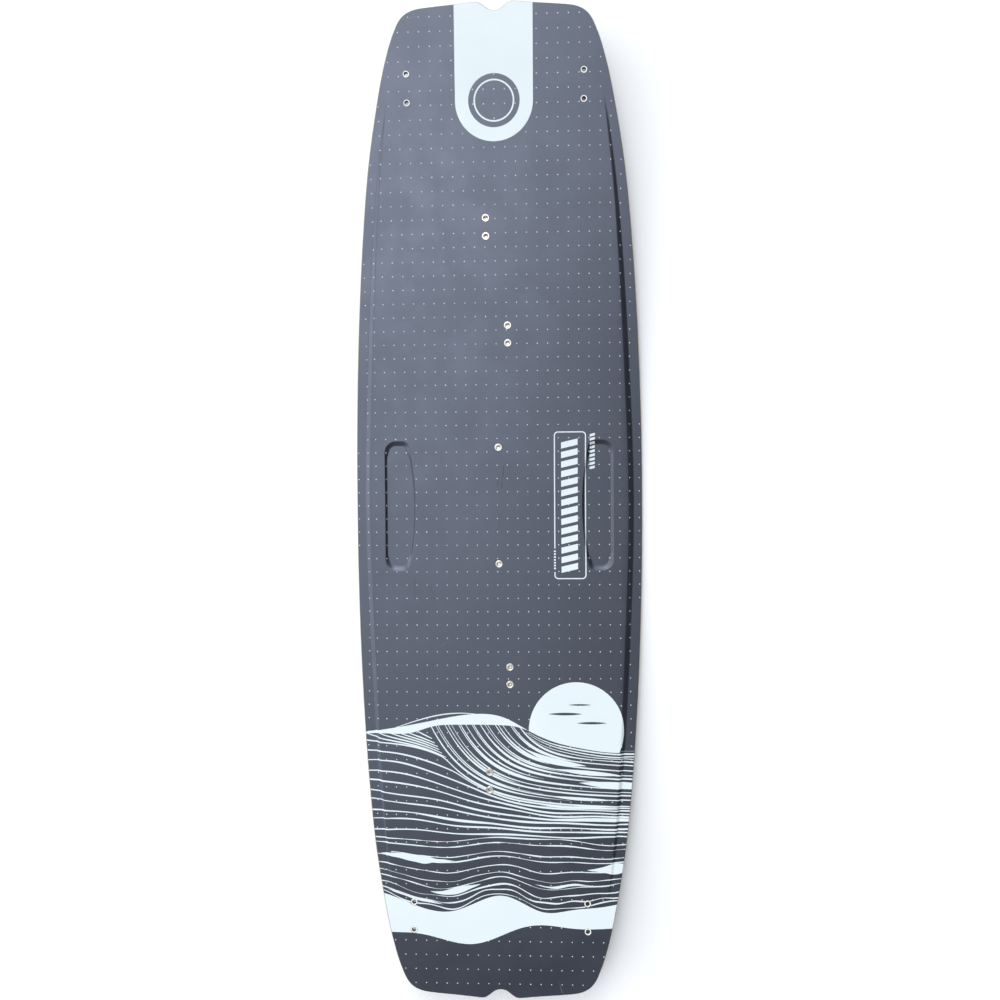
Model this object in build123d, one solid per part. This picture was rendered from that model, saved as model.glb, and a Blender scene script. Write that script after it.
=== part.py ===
from build123d import *
import os
from math import exp, hypot

os.makedirs("parts", exist_ok=True)

# Twin-tip kiteboard, bare board without fins, pads or handle.
# Millimetres. X across the board (right is +X), Y along it (front is +Y), Z up.
# The origin is on the centre of the board, on the level the rails touch when it
# stands on a flat floor.

# ---------------------------------------------------------------- dimensions
HALF_LENGTH = 700.0          # half the length, taped along the deck
HALF_WIDTH = 209.8           # half the width at the middle
RAIL_WIDTH = 10.0            # width of the plastic rail in the sandwich
CORE_END = 654.9             # where the wood core stops and the tip spacer starts
CORE_END_HALF_WIDTH = 143.6  # half width of the board there
CORE_END_NARROWING = 1.5     # the core is this much narrower again at its end
STAVES = 11                  # wood strips glued side by side
STAVE_EXTRA = 20.0           # outer staves reach this far past the core's side

SHEET = 0.5                  # printed topsheet, and the base sheet
PLY = 0.4                    # one layer of glass laminate
SKIN = SHEET + 2 * PLY
SKIN_INSET = 1.2             # the deck skins stop this far inside the rail's edge

RAIL_THICK_MID = 6.4         # whole thickness at the rail, middle of the board
RAIL_THICK_TIP = 4.8         # and at the tips
STEP_HEIGHT = 3.8            # the raised deck stands this far above the rail flange
STEP_END = 563.0             # the step has faded out here
STEP_RUN = 1.8               # run of the step's slope for each unit of height
STEP_LINE = (55.3, 15.4, 41.0)  # narrowing: a u^2 - b u^4 + c u^6, u = |y| / HALF_LENGTH
FLANGE_MID = 13.3            # flange width at the middle
FLANGE_GAIN = 2.7            # and how much wider it is towards the tips
FLANGE_GAIN_LENGTH = 160     # distance along the board over which it widens
CONCAVE = 3.0                # hollow of the base at the middle, fading to the tips
CONCAVE_HALF_WIDTH = 210     # the hollow runs out at this distance from the centre
ROCKER = (71.66, 9.44, -28.8)  # base curve: a u^2 + b u^3 + c u^4

# D shaped grab recess in the deck beside each rail
RECESS_OUTER = 166.6         # straight outer edge
RECESS_INNER_END = 132.4     # curved inner edge, at its ends
RECESS_INNER_MID = 121.8     # and at its middle
RECESS_HALF = 94.6
RECESS_DEPTH = 2.5
RECESS_OUTER_FILLET = 16
RECESS_INNER_FILLET = 10
RECESS_REACH = 4.0           # the cutter reaches this far above and below the deck
RECESS_LEVEL_AT = (140, 50)  # spot where the deck gives the cutter's level

FIN_X, FIN_Y, FIN_SPACING = 124.0, 586.2, 38.0
FIN_HOLE_R, FIN_BUSH_R = 3.0, 4.6
FOOT_X = 15.0                # the inner pair is this far right, the outer pair left
FOOT_INNER_Y, FOOT_OUTER_Y, FOOT_SPACING = 247.4, 397.1, 25.0
HANDLE_Y = 85.0
INSERT_R, INSERT_LENGTH = 5.3, 6.0
THREAD_R, THREAD_DEPTH = 2.5, 5.2   # tapping size of an M6 thread
MOUTH_R, MOUTH_DEPTH = 3.2, 0.7     # countersink at the mouth
MOUTH_STRETCH = 4                   # its cutter is carried on to this many depths

FOOT_BLOCK = (34, 56)        # width and length of the blocks let into the wood
HANDLE_BLOCK = (28, 28)
FIN_BLOCK = (22, 62)
BLOCK_CORNER = 6

# cutting tools and trimming boxes, all larger than the board
TOOL_LOW, TOOL_HEIGHT = -30.0, 150
TRIM_WIDTH, TRIM_LENGTH, TRIM_HEIGHT = 600, 1600, 400
BODY_TOP = 200               # trimmed bodies run from TOOL_LOW up to here
BODY_DROP = 420
TIP_BOX_LENGTH = 200
RECESS_CUT_HEIGHT = 60
ABOVE_DECK = 10

ENDS = (("front", 1), ("rear", -1))
SIDES = (("right", 1), ("left", -1))
FOOT_PAIRS = (("inner", FOOT_X, FOOT_INNER_Y), ("outer", -FOOT_X, FOOT_OUTER_Y))

# one quarter of the outline, in four runs: (half width, distance from the middle)
SIDE = [
    (209.8, 0.0), (209.5, 62.0), (208.2, 125.0), (205.7, 196.0), (201.6, 274.0),
    (196.1, 349.6), (189.4, 421.0), (179.4, 499.2), (168.3, 560.5), (157.3, 610.8),
    (149.9, 636.7),
]
CORNER = [(149.9, 636.7), (141.2, 660.2), (128.7, 680.9), (117.4, 687.9), (98.0, 691.9)]
END = [(98.0, 691.9), (75.0, 693.9), (50.0, 695.9), (29.5, 697.9)]
NOTCH = [(29.5, 697.9), (23.2, 697.7), (17.6, 695.0), (11.5, 690.6), (6.0, 687.3), (0.0, 686.4)]
RUNS = (SIDE, CORNER, END, NOTCH)
# directions of the outline where the runs start, meet and finish
RUN_TANGENTS = [
    Vector(0, 1, 0),
    Vector(-0.30, 1.0, 0).normalized(),
    Vector(-1.0, 0.095, 0).normalized(),
    Vector(-1.0, 0.085, 0).normalized(),
    Vector(-1, 0, 0),
]
CORE_SIDE_TANGENTS = [Vector(0, 1, 0), Vector(-0.36, 1, 0)]


# ---------------------------------------------------------------- shape laws
def base_z(x, y):
    u = abs(y) / HALF_LENGTH
    square, cube, fourth = ROCKER
    hollow = CONCAVE * (1 - u**2) * (1 - (x / CONCAVE_HALF_WIDTH) ** 2)
    return square * u**2 + cube * u**3 + fourth * u**4 + hollow


def flange_z(x, y):
    gain = (RAIL_THICK_MID - RAIL_THICK_TIP) * (1 - (y / HALF_LENGTH) ** 2)
    return base_z(x, y) + RAIL_THICK_TIP + gain


def raised_z(x, y):
    return flange_z(x, y) + STEP_HEIGHT * (1 - (abs(y) / STEP_END) ** 4)


def step_foot(y):
    """Distance of the foot of the step from the centre line."""
    u = abs(y) / HALF_LENGTH
    square, fourth, sixth = STEP_LINE
    smooth_half_width = HALF_WIDTH - square * u**2 + fourth * u**4 - sixth * u**6
    gain = FLANGE_GAIN * (1 - exp(-((y / FLANGE_GAIN_LENGTH) ** 2)))
    return smooth_half_width - FLANGE_MID - gain


def slope_z(x, y):
    """Slope of the step on the right side, carried on across the board."""
    foot = step_foot(y)
    return flange_z(foot, y) + (foot - x) / STEP_RUN


def deck_z(x, y):
    """Height of the deck, without the grab recesses."""
    return max(flange_z(x, y), min(raised_z(x, y), slope_z(abs(x), y)))


# ---------------------------------------------------------------- helpers
def spread(half, count):
    return [-half + 2 * half * i / (count - 1) for i in range(count)]


def surface(law, half_x, half_y, count_x=13, count_y=61):
    ys = spread(half_y, count_y)
    grid = [[Vector(x, y, law(x, y)) for y in ys] for x in spread(half_x, count_x)]
    return Face.make_surface_from_array_of_points(grid, tol=0.002, min_deg=3, max_deg=5)


def above(face, height):
    return Solid.extrude(face, Vector(0, 0, height))


def below(face):
    trim = Box(TRIM_WIDTH, TRIM_LENGTH, BODY_TOP - TOOL_LOW)
    return above(face, -BODY_DROP) & Pos(0, 0, (BODY_TOP + TOOL_LOW) / 2) * trim


def prism(wire):
    return Pos(0, 0, TOOL_LOW) * above(Face(wire), TOOL_HEIGHT)


def post(x, y, radius, low=TOOL_LOW, high=TOOL_LOW + TOOL_HEIGHT):
    return Pos(x, y, low) * extrude(Circle(radius), high - low)


# ---------------------------------------------------------------- outline
def outline_runs(inset):
    """The runs of the quarter outline, moved inwards square to the outline."""
    points = list(dict.fromkeys(point for run in RUNS for point in run))
    moved = {}
    for i, (x, y) in enumerate(points):
        if i == 0:
            along_x, along_y = 0.0, 1.0
        elif i == len(points) - 1:
            along_x, along_y = -1.0, 0.0
        else:
            before, after = points[i - 1], points[i + 1]
            along_x, along_y = after[0] - before[0], after[1] - before[1]
        size = hypot(along_x, along_y)
        moved[x, y] = (x - along_y / size * inset, y + along_x / size * inset)
    return [[moved[point] for point in run] for run in RUNS]


def outline_wire(inset=0.0):
    quarter = [
        Edge.make_spline([Vector(x, y, 0) for x, y in run], tangents=RUN_TANGENTS[i:i + 2])
        for i, run in enumerate(outline_runs(inset))
    ]
    edges = quarter + [edge.mirror(Plane.YZ) for edge in quarter]
    edges += [edge.mirror(Plane.XZ) for edge in edges]
    return Wire(edges)


board_prism = prism(outline_wire())
deck_prism = prism(outline_wire(SKIN_INSET))

# ---------------------------------------------------------------- surfaces
# all of them run past the outline, and are trimmed by the bodies they bound
base_face = surface(base_z, 232, 722)
flange_face = surface(flange_z, 232, 722)
raised_face = surface(raised_z, 228, 716)
step_right = surface(slope_z, 226, 718, count_x=5)
step_left = surface(lambda x, y: slope_z(-x, y), 226, 718, count_x=5)


# ---------------------------------------------------------------- deck body
def grab_recess():
    """Cutter for the right recess, with walls sloping at 45 degrees."""
    outer, inner, half = RECESS_OUTER, RECESS_INNER_END, RECESS_HALF
    with BuildSketch() as outline:
        with BuildLine():
            Line((outer, -half), (outer, half))
            Line((outer, half), (inner, half))
            ThreePointArc((inner, half), (RECESS_INNER_MID, 0), (inner, -half))
            Line((inner, -half), (outer, -half))
        make_face()
        fillet(outline.vertices().filter_by(lambda v: v.X > 150), RECESS_OUTER_FILLET)
        fillet(
            outline.vertices().filter_by(lambda v: v.X < 136 and abs(v.Y) > 80),
            RECESS_INNER_FILLET,
        )
        offset(amount=-RECESS_REACH, kind=Kind.ARC, mode=Mode.REPLACE)
    bottom = Pos(0, 0, raised_z(*RECESS_LEVEL_AT) - RECESS_REACH)
    cutter = extrude(bottom * outline.sketch, amount=2 * RECESS_REACH, taper=-45)
    return cutter & above(Pos(0, 0, -RECESS_DEPTH) * raised_face, RECESS_CUT_HEIGHT)


def make_deck_body():
    """Everything below the top of the deck, before it is cut to the outline."""
    raised = below(raised_face) & below(step_right) & below(step_left)
    body = below(flange_face) + raised
    recess = grab_recess()
    body = body - recess
    return body - recess.mirror(Plane.YZ)


deck_body = make_deck_body()


def deck_down(depth):
    return Pos(0, 0, -depth) * deck_body


# ---------------------------------------------------------------- skins
# deck layer, base layer, depth below the outer face, thickness
LAYERS = [
    ("topsheet", "base_sheet", 0.0, SHEET),
    ("deck_laminate_outer", "base_laminate_outer", SHEET, PLY),
    ("deck_laminate_inner", "base_laminate_inner", SHEET + PLY, PLY),
]
deck_layers, base_layers = {}, {}
for deck_name, base_name, depth, thick in LAYERS:
    deck_layers[deck_name] = (deck_down(depth) - deck_down(depth + thick)) & deck_prism
    base_layers[base_name] = above(Pos(0, 0, depth) * base_face, thick) & board_prism

# ---------------------------------------------------------------- core layer
# the whole layer between the skins, shared out to rails, spacers, blocks and staves
middle = (deck_down(SKIN) & above(Pos(0, 0, SKIN) * base_face, 150)) & board_prism


def rail_zone():
    """Everything outside the core on the right side."""
    inner = [(x - RAIL_WIDTH, y) for x, y in SIDE]
    inner.append((CORE_END_HALF_WIDTH - RAIL_WIDTH - CORE_END_NARROWING, CORE_END))
    front_curve = Edge.make_spline(
        [Vector(x, y, 0) for x, y in inner], tangents=CORE_SIDE_TANGENTS
    )
    rear_curve = front_curve.mirror(Plane.XZ)
    front_far = Vector(TRIM_WIDTH / 2, CORE_END, 0)
    rear_far = Vector(TRIM_WIDTH / 2, -CORE_END, 0)
    return prism(Wire([
        front_curve,
        rear_curve,
        Edge.make_line(front_curve @ 1, front_far),
        Edge.make_line(front_far, rear_far),
        Edge.make_line(rear_far, rear_curve @ 1),
    ]))


parts = {}
right_zone = rail_zone()
left_zone = right_zone.mirror(Plane.YZ)
parts["rail_right"] = middle & right_zone
parts["rail_left"] = middle & left_zone

tip_box = Box(TRIM_WIDTH, TIP_BOX_LENGTH, TRIM_HEIGHT)
for end, sign in ENDS:
    tip_y = sign * (CORE_END + TIP_BOX_LENGTH / 2)
    parts[f"tip_spacer_{end}"] = middle & (Pos(0, tip_y, 0) * tip_box)

wood = (middle & Box(TRIM_WIDTH, 2 * CORE_END, TRIM_HEIGHT)) - right_zone - left_zone


def block(x, y, size):
    outline = RectangleRounded(*size, BLOCK_CORNER)
    return Pos(x, y, TOOL_LOW) * extrude(outline, TOOL_HEIGHT)


blocks = {}
for end, sign in ENDS:
    for which, x, y in FOOT_PAIRS:
        blocks[f"insert_block_{end}_{which}"] = block(x, sign * y, FOOT_BLOCK)
    blocks[f"handle_block_{end}"] = block(0, sign * HANDLE_Y, HANDLE_BLOCK)
    for side, turn in SIDES:
        blocks[f"fin_block_{end}_{side}"] = block(turn * FIN_X, sign * FIN_Y, FIN_BLOCK)
for name, tool in blocks.items():
    parts[name] = wood & tool
for tool in blocks.values():
    wood = wood - tool

core_width = 2 * (HALF_WIDTH - RAIL_WIDTH)
pitch = core_width / STAVES
for i in range(STAVES):
    x = -core_width / 2 + pitch * (i + 0.5)
    width = pitch
    if i in (0, STAVES - 1):
        width += STAVE_EXTRA
        x += STAVE_EXTRA / 2 if i else -STAVE_EXTRA / 2
    strip = Pos(x, 0, 0) * Box(width, TRIM_LENGTH, TRIM_HEIGHT)
    parts[f"core_stave_{i + 1:02d}"] = wood & strip

# ---------------------------------------------------------------- fittings
stack = {**deck_layers, **base_layers, **parts}


def pair(x, y, spacing):
    return [(x, y - spacing / 2), (x, y + spacing / 2)]


def cut_where_near(tool, x, y, radius, names):
    """Cut the tool from those named pieces whose bounding box it meets."""
    for name in names:
        box = stack[name].bounding_box()
        if box.min.X > x + radius or box.max.X < x - radius:
            continue
        if box.min.Y > y + radius or box.max.Y < y - radius:
            continue
        stack[name] = stack[name] - tool


def fin_bush(x, y):
    """Bush through the whole board, with its hole cut in every layer."""
    outside = post(x, y, FIN_BUSH_R)
    ring = outside - post(x, y, FIN_HOLE_R)
    cut_where_near(outside, x, y, FIN_BUSH_R, [*deck_layers, *base_layers, *parts])
    return (ring & deck_body) & above(base_face, 150)


def threaded_insert(x, y):
    """Blind insert set into the deck, with its seat cut in the layers it meets."""
    top = deck_z(x, y)
    body = post(x, y, INSERT_R, top - INSERT_LENGTH, top + ABOVE_DECK)
    thread = post(x, y, THREAD_R, top - THREAD_DEPTH, top + ABOVE_DECK)
    mouth = Pos(x, y, top - MOUTH_DEPTH) * Solid.make_cone(
        THREAD_R,
        THREAD_R + (MOUTH_R - THREAD_R) * MOUTH_STRETCH,
        MOUTH_DEPTH * MOUTH_STRETCH,
    )
    cut_where_near(body, x, y, INSERT_R, [*deck_layers, *parts])
    return ((body & deck_body) - thread) - mouth


def fit(make, spots):
    return Compound(children=[solid for x, y in spots for solid in make(x, y).solids()])


fittings = {}
for end, sign in ENDS:
    for side, turn in SIDES:
        spots = pair(turn * FIN_X, sign * FIN_Y, FIN_SPACING)
        fittings[f"fin_bush_{end}_{side}"] = fit(fin_bush, spots)
for end, sign in ENDS:
    for which, x, y in FOOT_PAIRS:
        spots = pair(x, sign * y, FOOT_SPACING)
        fittings[f"foot_insert_{end}_{which}"] = fit(threaded_insert, spots)
fittings["handle_insert"] = fit(threaded_insert, pair(0.0, 0.0, 2 * HANDLE_Y))
stack.update(fittings)

# ---------------------------------------------------------------- writing
for name, body in stack.items():
    solids = body.solids()
    shape = solids[0] if len(solids) == 1 else Compound(children=list(solids))
    export_step(shape, f"parts/{name}.step")
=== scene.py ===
import math

import bpy
import numpy as np
from mathutils import Matrix, Vector
from mathutils.geometry import delaunay_2d_cdt


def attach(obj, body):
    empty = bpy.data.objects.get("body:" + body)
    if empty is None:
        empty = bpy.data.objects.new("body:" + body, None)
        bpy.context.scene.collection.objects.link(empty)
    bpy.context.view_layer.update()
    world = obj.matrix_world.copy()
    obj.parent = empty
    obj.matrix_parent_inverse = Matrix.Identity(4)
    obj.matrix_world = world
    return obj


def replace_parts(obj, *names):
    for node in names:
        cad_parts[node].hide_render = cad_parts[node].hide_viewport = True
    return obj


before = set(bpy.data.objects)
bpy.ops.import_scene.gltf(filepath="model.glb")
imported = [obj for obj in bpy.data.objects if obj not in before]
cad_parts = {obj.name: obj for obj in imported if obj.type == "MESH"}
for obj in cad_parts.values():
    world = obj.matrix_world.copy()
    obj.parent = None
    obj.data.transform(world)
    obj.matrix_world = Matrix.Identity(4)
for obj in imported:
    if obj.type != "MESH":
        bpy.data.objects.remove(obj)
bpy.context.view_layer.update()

# Everything below is in millimetres until a mesh is written, in the row frame.
MM = 0.001

# ------------------------------------------------------------ dimensions
HALF_WIDTH = 209.8
SHEET, PLY = 0.5, 0.4
SKIN = SHEET + 2 * PLY
SKIN_INSET = 1.2
RAIL_WIDTH, CORE_END = 10.0, 655.0
RAIL_THICK_MID, RAIL_THICK_TIP = 6.4, 4.8
STEP_HEIGHT, STEP_END, STEP_RUN = 3.8, 563.0, 1.8
FLANGE_MID, FLANGE_GAIN = 13.3, 2.7
CONCAVE = 3.0
ROCKER = (71.66, 9.44, -28.8)
RECESS_DEPTH = 2.5
FIN_X, FIN_Y, FIN_SPACING = 124.0, 586.2, 38.0
FIN_HOLE_R, FIN_BUSH_R = 3.0, 4.6
FOOT_X, FOOT_INNER_Y, FOOT_OUTER_Y, FOOT_SPACING = 15.0, 247.4, 397.1, 25.0
HANDLE_Y = 85.0
INSERT_R, INSERT_LENGTH = 5.3, 6.0

SIDE = [
    (209.8, 0.0), (209.5, 62.0), (208.2, 125.0), (205.7, 196.0), (201.6, 274.0),
    (196.1, 349.6), (189.4, 421.0), (179.4, 499.2), (168.3, 560.5), (157.3, 610.8),
    (149.9, 636.7),
]
CORNER = [(149.9, 636.7), (141.2, 660.2), (128.7, 680.9), (117.4, 687.9), (98.0, 691.9)]
END = [(98.0, 691.9), (75.0, 693.9), (50.0, 695.9), (29.5, 697.9)]
NOTCH = [(29.5, 697.9), (23.2, 697.7), (17.6, 695.0), (11.5, 690.6), (6.0, 687.3), (0.0, 686.4)]


# ------------------------------------------------------------ shape laws
def half_width(y):
    u = np.abs(y) / 700
    return HALF_WIDTH - 55.3 * u**2 + 15.4 * u**4 - 41.0 * u**6


def base_z(x, y):
    u = np.abs(y) / 700
    a, b, c = ROCKER
    return a * u**2 + b * u**3 + c * u**4 + CONCAVE * (1 - u**2) * (1 - (x / 210) ** 2)


def rail_thickness(y):
    return RAIL_THICK_TIP + (RAIL_THICK_MID - RAIL_THICK_TIP) * (1 - (y / 700) ** 2)


def flange_z(x, y):
    return base_z(x, y) + rail_thickness(y)


def step_height(y):
    return STEP_HEIGHT * (1 - (np.abs(y) / STEP_END) ** 4)


def step_foot(y):
    return half_width(y) - FLANGE_MID - FLANGE_GAIN * (1 - np.exp(-((y / 160) ** 2)))


def soft_min(a, b, k):
    h = np.clip(k - np.abs(a - b), 0, None) / k
    return np.minimum(a, b) - h * h * k / 4


def soft_max(a, b, k):
    return -soft_min(-a, -b, k)


def recess_loop(step=2.5):
    """The D shaped outline of the grab recess on the +X side, at deck level."""
    pts = []

    def arc(cx, cy, r, a0, a1):
        n = max(4, int(abs(a1 - a0) * r / step))
        for k in range(n + 1):
            a = a0 + (a1 - a0) * k / n
            pts.append((cx + r * math.cos(a), cy + r * math.sin(a)))

    n = int(157.2 / step)
    pts += [(166.6, -78.6 + 157.2 * k / n) for k in range(n)]
    arc(150.6, 78.6, 16, 0, math.pi / 2)
    arc(140.46, 84.6, 10, math.pi / 2, math.radians(168.31))
    arc(549.2, 0, 427.4, math.radians(168.31), math.radians(191.69))
    arc(140.46, -84.6, 10, math.radians(191.69), math.radians(270))
    arc(150.6, -78.6, 16, math.radians(270), math.radians(360))
    out = [pts[0]]
    for p in pts[1:]:
        if math.hypot(p[0] - out[-1][0], p[1] - out[-1][1]) > 0.4:
            out.append(p)
    if math.hypot(out[0][0] - out[-1][0], out[0][1] - out[-1][1]) < 0.4:
        out.pop()
    return np.array(out)


RECESS = recess_loop()


def inside_polygon(p, poly, chunk=20000):
    """Even-odd test of points p (n, 2) against a closed polygon."""
    a, b = poly, np.roll(poly, -1, 0)
    out = np.zeros(len(p), bool)
    for i in range(0, len(p), chunk):
        x, y = p[i : i + chunk, 0:1], p[i : i + chunk, 1:2]
        cross = (a[:, 1] > y) != (b[:, 1] > y)
        with np.errstate(divide="ignore", invalid="ignore"):
            at = (b[:, 0] - a[:, 0]) * (y - a[:, 1]) / (b[:, 1] - a[:, 1]) + a[:, 0]
        out[i : i + chunk] = (np.where(cross, x < at, False).sum(1) % 2) == 1
    return out


def polygon_distance(p, poly, chunk=4000):
    a, b = poly, np.roll(poly, -1, 0)
    ab = b - a
    length = (ab**2).sum(1)
    out = np.zeros(len(p))
    for i in range(0, len(p), chunk):
        q = p[i : i + chunk, None, :]
        t = np.clip(((q - a) * ab).sum(2) / length, 0, 1)
        near = a + ab * t[..., None]
        out[i : i + chunk] = np.sqrt(((q - near) ** 2).sum(2)).min(1)
    return out


def recess_depth(x, y):
    x, y = np.broadcast_arrays(np.abs(np.asarray(x, float)), np.asarray(y, float))
    out = np.zeros(x.shape)
    near = (x > 118) & (x < 171) & (np.abs(y) < 99)
    if near.any():
        p = np.stack([x[near], y[near]], 1)
        d = polygon_distance(p, RECESS)
        d = np.where(inside_polygon(p, RECESS), d, -d)
        ease = np.clip((np.abs(p[:, 1]) - 66) / 16, 0, 1)
        # the ends run out more gently than the sides
        d = np.where(d > 0, d * (1 - 0.55 * ease * ease * (3 - 2 * ease)), d)
        out[near] = soft_min(soft_max(d, 0 * d, 0.6), RECESS_DEPTH + 0 * d, 0.6)
    return out


def deck_z(x, y):
    x, y = np.asarray(x, float), np.asarray(y, float)
    foot = step_foot(y)
    low = flange_z(x, y)
    raised = low + step_height(y)
    slope = flange_z(foot, y) + (foot - np.abs(x)) / STEP_RUN
    return soft_max(low, soft_min(raised, slope, 0.8), 0.5) - recess_depth(x, y)


def deck_under(depth):
    return lambda x, y: deck_z(x, y) - depth


def base_over(depth):
    return lambda x, y: base_z(np.asarray(x, float), np.asarray(y, float)) + depth


# distance taped along the deck's centreline from the middle, and back to Y
_y = np.linspace(0, 705, 1411)
_z = deck_z(0 * _y, _y)
_s = np.concatenate([[0], np.cumsum(np.hypot(np.diff(_y), np.diff(_z)))])


def taped_to_y(s):
    """s is taped from the middle towards the rear tip, which is -Y."""
    s = np.asarray(s, float)
    return -np.sign(s) * np.interp(np.abs(s), _s, _y)


def y_to_taped(y):
    y = np.asarray(y, float)
    return -np.sign(y) * np.interp(np.abs(y), _y, _s)


# The print sits a little to the left of the board's own centreline and a touch askew.
PRINT_X, PRINT_Y, PRINT_TURN = -1.85, 0.8, 0.00081
DRAPE_LEFT, DRAPE_RIGHT = 3.2, 0.8


def drape(x, y):
    """How far the print is drawn inwards where the sheet runs down over the side steps."""
    fall = np.clip(step_height(y), 0, None)
    foot = step_foot(y)
    start = foot - STEP_RUN * fall - 8.0
    t = np.clip((np.abs(x) - start) / (foot + 1.0 - start), 0, 1)
    t = t * t * (3 - 2 * t) * fall / STEP_HEIGHT
    return np.where(x < 0, DRAPE_LEFT, -DRAPE_RIGHT) * t


def print_to_board(p):
    """(x, s) of the print, s taped towards the rear tip, to (x, y) of the board."""
    p = np.asarray(p, float)
    y = taped_to_y(p[:, 1])
    flat = p[:, 0] + PRINT_X + PRINT_TURN * y
    x = flat
    for _ in range(24):
        x = flat + drape(x, y + PRINT_Y)
    return np.column_stack([x, y + PRINT_Y])


def board_to_print(p):
    p = np.asarray(p, float)
    y = p[:, 1] - PRINT_Y
    return p[:, 0] - drape(p[:, 0], p[:, 1]) - PRINT_X - PRINT_TURN * y, y_to_taped(y)


# ------------------------------------------------------------ outline
def spline(points, t0, t1, step):
    """Clamped cubic through the points, on chord length, sampled about every step."""
    p = np.array(points, float)
    u = np.concatenate([[0], np.cumsum(np.hypot(*np.diff(p, axis=0).T))])
    n, h = len(p), np.diff(u)
    A, B = np.zeros((n, n)), np.zeros((n, 2))
    A[0, 0] = A[-1, -1] = 1
    B[0] = np.array(t0) / np.hypot(*t0)
    B[-1] = np.array(t1) / np.hypot(*t1)
    for i in range(1, n - 1):
        A[i, i - 1], A[i, i], A[i, i + 1] = 1 / h[i - 1], 2 / h[i - 1] + 2 / h[i], 1 / h[i]
        B[i] = 3 * ((p[i] - p[i - 1]) / h[i - 1] ** 2 + (p[i + 1] - p[i]) / h[i] ** 2)
    m = np.linalg.solve(A, B)
    out = []
    for i in range(n - 1):
        k = max(1, int(round(h[i] / step)))
        for j in range(k):
            t = j / k
            out.append(
                (2 * t**3 - 3 * t**2 + 1) * p[i] + (t**3 - 2 * t**2 + t) * h[i] * m[i]
                + (3 * t**2 - 2 * t**3) * p[i + 1] + (t**3 - t**2) * h[i] * m[i + 1]
            )
    out.append(p[-1])
    return np.array(out)


JOINS = [(0, 1), (-0.30, 1.0), (-1.0, 0.095), (-1.0, 0.085), (-1, 0)]


def outline(step=3.0):
    """The whole outline as a closed anticlockwise loop, from the +X side's middle."""
    quarter = []
    for k, run in enumerate((SIDE, CORNER, END, NOTCH)):
        fine = step if k in (0, 2) else step / 2
        quarter.append(spline(run, JOINS[k], JOINS[k + 1], fine)[:-1])
    quarter = np.concatenate(quarter + [np.array([NOTCH[-1]])])
    left = (quarter * [-1, 1])[::-1][1:]
    upper = np.concatenate([quarter, left])
    lower = (upper * [-1, -1])[1:-1]
    return np.concatenate([upper, lower])


def moved(loop, out):
    """A closed loop moved outwards by out (its material is on its left)."""
    t = np.roll(loop, -1, 0) - np.roll(loop, 1, 0)
    t /= np.hypot(t[:, 0], t[:, 1])[:, None] + 1e-12
    return loop + np.stack([t[:, 1], -t[:, 0]], 1) * out


OUTLINE = outline()


# ------------------------------------------------------------ mesh tools
class Sheet:
    """Points and constraint edges for one constrained triangulation."""

    def __init__(self):
        self.pts, self.edges = [], []

    def line(self, pts, closed=False):
        base = len(self.pts)
        self.pts += [tuple(p) for p in pts]
        n = len(pts)
        self.edges += [(base + i, base + i + 1) for i in range(n - 1)]
        if closed:
            self.edges.append((base + n - 1, base))

    def segments(self, pts, edges):
        base = len(self.pts)
        self.pts += [tuple(p) for p in pts]
        self.edges += [(base + a, base + b) for a, b in edges]

    def fill(self, region, pitch, clear):
        """A staggered grid of plain points, kept clear of the lines."""
        lo, hi = region.min(0), region.max(0)
        rows = np.arange(lo[1], hi[1], pitch * 0.87)
        grid = []
        for k, y in enumerate(rows):
            xs = np.arange(lo[0] + (k % 2) * pitch / 2, hi[0], pitch)
            grid.append(np.stack([xs, np.full(len(xs), y)], 1))
        grid = np.concatenate(grid)
        grid = grid[inside_polygon(grid, region)]
        used = set()
        for x, y in self.pts:
            used.add((int(x // clear), int(y // clear)))
        keep = []
        for x, y in grid:
            i, j = int(x // clear), int(y // clear)
            if not any((i + a, j + b) in used for a in (-1, 0, 1) for b in (-1, 0, 1)):
                keep.append((x, y))
        self.pts += keep

    def triangles(self, keep):
        out = delaunay_2d_cdt([Vector(p) for p in self.pts], self.edges, [], 0, 1e-5)
        v = np.array([(p.x, p.y) for p in out[0]])
        t = np.array(out[2], int)
        a, b, c = v[t[:, 0]], v[t[:, 1]], v[t[:, 2]]
        area = (b[:, 0] - a[:, 0]) * (c[:, 1] - a[:, 1]) - (b[:, 1] - a[:, 1]) * (c[:, 0] - a[:, 0])
        t[area < 0] = t[area < 0][:, [0, 2, 1]]
        mid = v[t].mean(1)
        ok = keep(mid) & (np.abs(area) > 1e-9)
        return v, t[ok], mid[ok], out[3]


def border_loops(t):
    """Closed loops round a set of triangles, with the material on the left."""
    e = np.concatenate([t[:, [0, 1]], t[:, [1, 2]], t[:, [2, 0]]])
    n = int(e.max()) + 1
    key, back = e[:, 0] * n + e[:, 1], e[:, 1] * n + e[:, 0]
    edge = e[~np.isin(key, back)]
    follow = {int(a): int(b) for a, b in edge}
    loops = []
    while follow:
        start = next(iter(follow))
        loop, at = [start], follow.pop(start)
        while at != start:
            loop.append(at)
            at = follow.pop(at)
        loops.append(loop)
    return loops


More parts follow.
